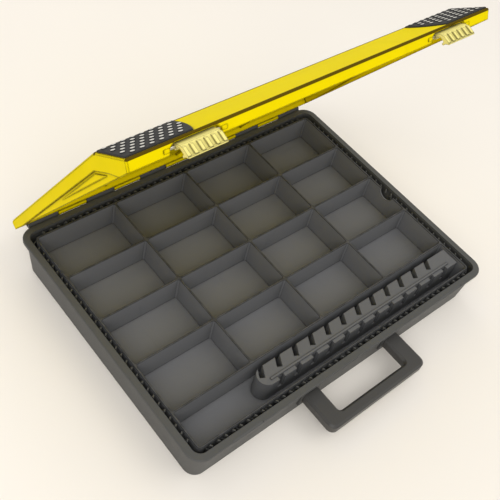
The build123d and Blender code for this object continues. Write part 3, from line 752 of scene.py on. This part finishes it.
def lid_point(reach, height):
    """A point of the lid's side outline at its open rest."""
    forward = -reach
    y = HINGE_Y + forward * math.cos(LID_OPEN) + height * math.sin(LID_OPEN)
    z = RIM_Z - forward * math.sin(LID_OPEN) + height * math.cos(LID_OPEN)
    return Vector((0.0, y, z))


def slope_matrix(x, lift):
    """The place of the slope's middle at x: X along the case, Y up the slope, Z out of it."""
    nose = lid_point(NOSE_REACH, NOSE_HIGH)
    ridge = lid_point(RIDGE_REACH, RIDGE_HIGH)
    up = (ridge - nose).normalized()
    along = Vector((1.0, 0.0, 0.0))
    out = along.cross(up)
    middle = (nose + ridge) / 2 + out * lift
    turn = Matrix((along, up, out)).transposed().to_4x4()
    return Matrix.Translation(Vector((x, middle.y, middle.z))) @ turn


def slope_length():
    """The length of the lid's front slope from nose to ridge."""
    return math.hypot(NOSE_REACH - RIDGE_REACH, RIDGE_HIGH - NOSE_HIGH)


# Groove ribs


def rib_line(tree, into):
    """A line of points along X, centred on the origin, with one for each rib."""
    gaps = floor_node(tree, math_node(tree, "DIVIDE", into["Length"], into["Pitch"]))
    length = math_node(tree, "MULTIPLY", gaps, into["Pitch"])
    start = math_node(tree, "MULTIPLY", length, -0.5)
    line = tree.nodes.new("GeometryNodeMeshLine")
    tree.links.new(math_node(tree, "ADD", gaps, 1.0), line.inputs["Count"])
    tree.links.new(vector_node(tree, start, 0.0, 0.0), line.inputs["Start Location"])
    tree.links.new(vector_node(tree, into["Pitch"], 0.0, 0.0), line.inputs["Offset"])
    return line.outputs["Mesh"]


def rib_block(tree, into):
    """One tapered rib with its top at Z = 0, cut from a four-sided cone with sides of one metre."""
    foot = math.sqrt(0.5)
    cone = cone_node(tree, 4, foot, foot * GROOVE_RIB_TAPER, 1.0)
    square = transformed(tree, cone["Mesh"], {
        "Translation": (0.0, 0.0, -1.0),
        "Rotation": (0.0, 0.0, math.radians(45.0)),
    })
    size = vector_node(tree, into["Thick"], into["Across"], into["High"])
    return transformed(tree, square, {"Scale": size})


def rib_tree():
    """Geometry nodes: a row of slanted, tapered ribs along X, their tops at Z = 0."""
    tree, into, out = geometry_start("Groove rib row", {
        "NodeSocketFloat": ("Length", "Pitch", "Thick", "Across", "High", "Slant"),
        "NodeSocketMaterial": ("Plastic",),
    })
    turn = vector_node(tree, 0.0, 0.0, into["Slant"])
    ribs = copies_on_points(tree, rib_line(tree, into), rib_block(tree, into), turn)
    ribs = painted(tree, ribs, into["Plastic"])
    tree.links.new(ribs, out.inputs["Geometry"])
    return tree


def groove_sides():
    """The groove's four stretches round the tray: name, length, and place of the middle."""
    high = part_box("compartment_tray")[1]
    half_x = high[0] + GROOVE_WIDTH / 2
    half_y = high[1] + GROOVE_WIDTH / 2
    level = high[2] - GROOVE_RIB_BELOW
    along = 2 * high[0] - 4 * GROOVE_WIDTH
    across = 2 * high[1] - 4 * GROOVE_WIDTH
    for name, length, degrees, x, y in (
        ("front", along, 0.0, 0.0, -half_y),
        ("right", across, 90.0, half_x, 0.0),
        ("back", along, 180.0, 0.0, half_y),
        ("left", across, 270.0, -half_x, 0.0),
    ):
        turn = Matrix.Rotation(math.radians(degrees), 4, "Z")
        yield name, length, Matrix.Translation((x, y, level)) @ turn


# Operators


class PARTSCASE_OT_base(bpy.types.Operator):
    """Finish the base shell, the compartment tray and the tool rack, and rib the groove"""

    bl_idname = "partscase.base"
    bl_label = "Base, tray and rack"

    def execute(self, context):
        colours = context.scene.parts_case_colours
        plastic = moulded_material("Base plastic", tuple(colours.case), CASE_FINISH)
        dress(["base_shell"], plastic)
        tray = moulded_material("Tray plastic", tuple(colours.tray), TRAY_FINISH)
        tray_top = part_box("compartment_tray")[1][2]
        add_top_dirt(tray, tray_top - TOP_DIRT_DEEP, TRAY_FINISH["wear_colour"])
        dress(["compartment_tray"], tray)
        rack = moulded_material("Rack plastic", tuple(colours.rack), TRAY_FINISH)
        dress(["tool_rack"], rack)
        self.rib_groove(context.scene, plastic)
        return {"FINISHED"}

    @staticmethod
    def rib_groove(scene, plastic):
        """Slanted ribs across the groove, kept between the tray's wall and the rim."""
        sizes = scene.parts_case_sizes
        tree = rib_tree()
        slant = math.radians(sizes.rib_slant)
        values = {
            "Pitch": sizes.rib_pitch, "Thick": sizes.rib_thick, "High": sizes.rib_high,
            "Across": GROOVE_WIDTH - sizes.rib_thick * math.sin(slant) / 2,
            "Slant": slant, "Plastic": plastic,
        }
        for name, length, place in groove_sides():
            mesh = grown_mesh(f"groove_ribs_{name}", tree, {**values, "Length": length})
            ribs = placed_object(scene, mesh, place)
            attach(ribs, "base")


class PARTSCASE_OT_handle(bpy.types.Operator):
    """Finish the carrying handle as satin black plastic"""

    bl_idname = "partscase.handle"
    bl_label = "Handle"

    def execute(self, context):
        colour = tuple(context.scene.parts_case_colours.handle)
        dress(["handle"], moulded_material("Handle plastic", colour, HANDLE_FINISH))
        return {"FINISHED"}


class PARTSCASE_OT_lid(bpy.types.Operator):
    """Finish the lid as matt yellow plastic with dark lines along its nose and ridge"""

    bl_idname = "partscase.lid"
    bl_label = "Lid"

    def execute(self, context):
        colour = tuple(context.scene.parts_case_colours.lid)
        plastic = moulded_material("Lid plastic", colour, LID_FINISH)
        for reach, height in ((NOSE_REACH, NOSE_HIGH), (RIDGE_REACH, RIDGE_HIGH)):
            add_edge_line(plastic, lid_point(reach, height), LID_FINISH["wear_colour"])
        dress(["lid_shell"], plastic)
        return {"FINISHED"}


class PARTSCASE_OT_latches(bpy.types.Operator):
    """Finish the latches as paler yellow plastic, with painted shade darkening the gaps between their ribs"""

    bl_idname = "partscase.latches"
    bl_label = "Latches"

    def execute(self, context):
        colour = tuple(context.scene.parts_case_colours.latch)
        plastic = moulded_material("Latch plastic", colour, LATCH_FINISH)
        dress(["latch_left", "latch_right"], plastic)
        return {"FINISHED"}


class PARTSCASE_OT_steel(bpy.types.Operator):
    """Finish the hinge rod and the latch pins as drawn steel"""

    bl_idname = "partscase.steel"
    bl_label = "Rod and pins"

    def execute(self, context):
        colour = tuple(context.scene.parts_case_colours.steel)
        wire = steel_material("Drawn steel", colour)
        dress(["hinge_rod", "latch_pin_left", "latch_pin_right"], wire)
        return {"FINISHED"}


class PARTSCASE_OT_pads(bpy.types.Operator):
    """Finish the grip pads as rubber and grow staggered studs over them, with pale tops as a painted highlight"""

    bl_idname = "partscase.pads"
    bl_label = "Grip pads and studs"

    def execute(self, context):
        colours = context.scene.parts_case_colours
        sizes = context.scene.parts_case_sizes
        rubber = moulded_material("Pad rubber", tuple(colours.pad), PAD_FINISH)
        # Pale stud tops: a painted highlight on each stud.
        top = moulded_material("Stud tops painted as highlights", tuple(colours.stud), STUD_HIGHLIGHT_FINISH)
        dress(["grip_pad_left", "grip_pad_right"], rubber)
        tree = stud_tree()
        values = {
            "Length": PAD_LENGTH, "Width": slope_length() - 2 * PAD_MARGIN,
            "Along": sizes.stud_along, "Across": sizes.stud_across,
            "Stud Width": sizes.stud_width, "Stud Height": sizes.stud_height + STUD_SINK,
            "Shorter": PAD_SHORTER_BELOW, "Bulge": PAD_BULGE, "Sides": sizes.stud_sides,
            "Rubber": rubber, "Top": top,
        }
        for name, side in (("left", -1.0), ("right", 1.0)):
            mesh = grown_mesh(f"grip_studs_{name}", tree, {**values, "Side": side})
            middle = side * (PAD_END - PAD_LENGTH / 2)
            place = slope_matrix(middle, PAD_PROUD - STUD_SINK)
            studs = placed_object(context.scene, mesh, place)
            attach(studs, "lid")
        return {"FINISHED"}


class PARTSCASE_OT_stage(bpy.types.Operator):
    """Lay the pale floor, hang the soft lamps and place the camera"""

    bl_idname = "partscase.stage"
    bl_label = "Studio"

    def execute(self, context):
        scene = context.scene
        scene.view_settings.view_transform = "Standard"
        self.lay_floor(scene)
        self.light_world(scene)
        for name, place, share in LAMPS:
            self.hang_lamp(scene, name, place, scene.parts_case_sizes.lamp_power * share)
        self.place_camera(scene)
        return {"FINISHED"}

    @staticmethod
    def lay_floor(scene):
        """A wide pale disc under the case."""
        step = 2 * math.pi / FLOOR_SIDES
        rim = [
            (FLOOR_RADIUS * math.cos(step * i), FLOOR_RADIUS * math.sin(step * i), -FLOOR_DROP)
            for i in range(FLOOR_SIDES)
        ]
        mesh = bpy.data.meshes.new("studio_floor")
        mesh.from_pydata(rim, [], [tuple(range(FLOOR_SIDES))])
        floor = bpy.data.objects.new("studio_floor", mesh)
        scene.collection.objects.link(floor)
        colour = tuple(scene.parts_case_colours.floor)
        mesh.materials.append(paper_material("Studio paper", colour))

    @staticmethod
    def light_world(scene):
        """An even pale sky."""
        world = bpy.data.worlds.new("Studio air")
        scene.world = world
        world.use_nodes = True
        background = world.node_tree.nodes["Background"]
        background.inputs["Color"].default_value = (*SKY_COLOUR, 1.0)
        background.inputs["Strength"].default_value = SKY_STRENGTH

    @staticmethod
    def hang_lamp(scene, name, place, power):
        """A square soft lamp that looks at the case."""
        data = bpy.data.lights.new(name, "AREA")
        data.size = LAMP_SIZE
        data.energy = power
        lamp = bpy.data.objects.new(name, data)
        lamp.location = place
        look = Vector(LAMP_AIM) - Vector(place)
        lamp.rotation_euler = look.to_track_quat("-Z", "Y").to_euler()
        scene.collection.objects.link(lamp)

    @staticmethod
    def place_camera(scene):
        """The picture's viewing angle."""
        data = bpy.data.cameras.new("Camera")
        data.lens = CAMERA_LENS
        data.clip_start = CAMERA_NEAR
        data.clip_end = CAMERA_FAR
        camera = bpy.data.objects.new("Camera", data)
        camera.location = CAMERA_PLACE
        camera.rotation_euler = Euler([math.radians(turn) for turn in CAMERA_TURN], "XYZ")
        scene.collection.objects.link(camera)
        scene.camera = camera


OPERATORS = (
    PARTSCASE_OT_base, PARTSCASE_OT_handle, PARTSCASE_OT_lid, PARTSCASE_OT_latches,
    PARTSCASE_OT_steel, PARTSCASE_OT_pads, PARTSCASE_OT_stage,
)


class PARTSCASE_PT_panel(bpy.types.Panel):
    """Sidebar panel with the case's settings and steps"""

    bl_label = "Parts case"
    bl_idname = "PARTSCASE_PT_panel"
    bl_space_type = "VIEW_3D"
    bl_region_type = "UI"
    bl_category = "Parts case"

    def draw(self, context):
        """List the settings, then one button for each step."""
        for settings in (context.scene.parts_case_colours, context.scene.parts_case_sizes):
            box = self.layout.box()
            for name in settings.__annotations__:
                box.prop(settings, name)
        for operator in OPERATORS:
            self.layout.operator(operator.bl_idname)


CLASSES = (PartsCaseColours, PartsCaseSizes, *OPERATORS, PARTSCASE_PT_panel)


def register():
    """Add the classes and the scene's settings."""
    for cls in CLASSES:
        bpy.utils.register_class(cls)
    bpy.types.Scene.parts_case_colours = PointerProperty(type=PartsCaseColours)
    bpy.types.Scene.parts_case_sizes = PointerProperty(type=PartsCaseSizes)


def unregister():
    """Take the settings and classes away again."""
    del bpy.types.Scene.parts_case_sizes
    del bpy.types.Scene.parts_case_colours
    for cls in reversed(CLASSES):
        bpy.utils.unregister_class(cls)


def main():
    """Run every step in order."""
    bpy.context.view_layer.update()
    register()
    bpy.ops.partscase.base()
    bpy.ops.partscase.handle()
    bpy.ops.partscase.lid()
    bpy.ops.partscase.latches()
    bpy.ops.partscase.steel()
    bpy.ops.partscase.pads()
    bpy.ops.partscase.stage()


if __name__ == "__main__":
    main()
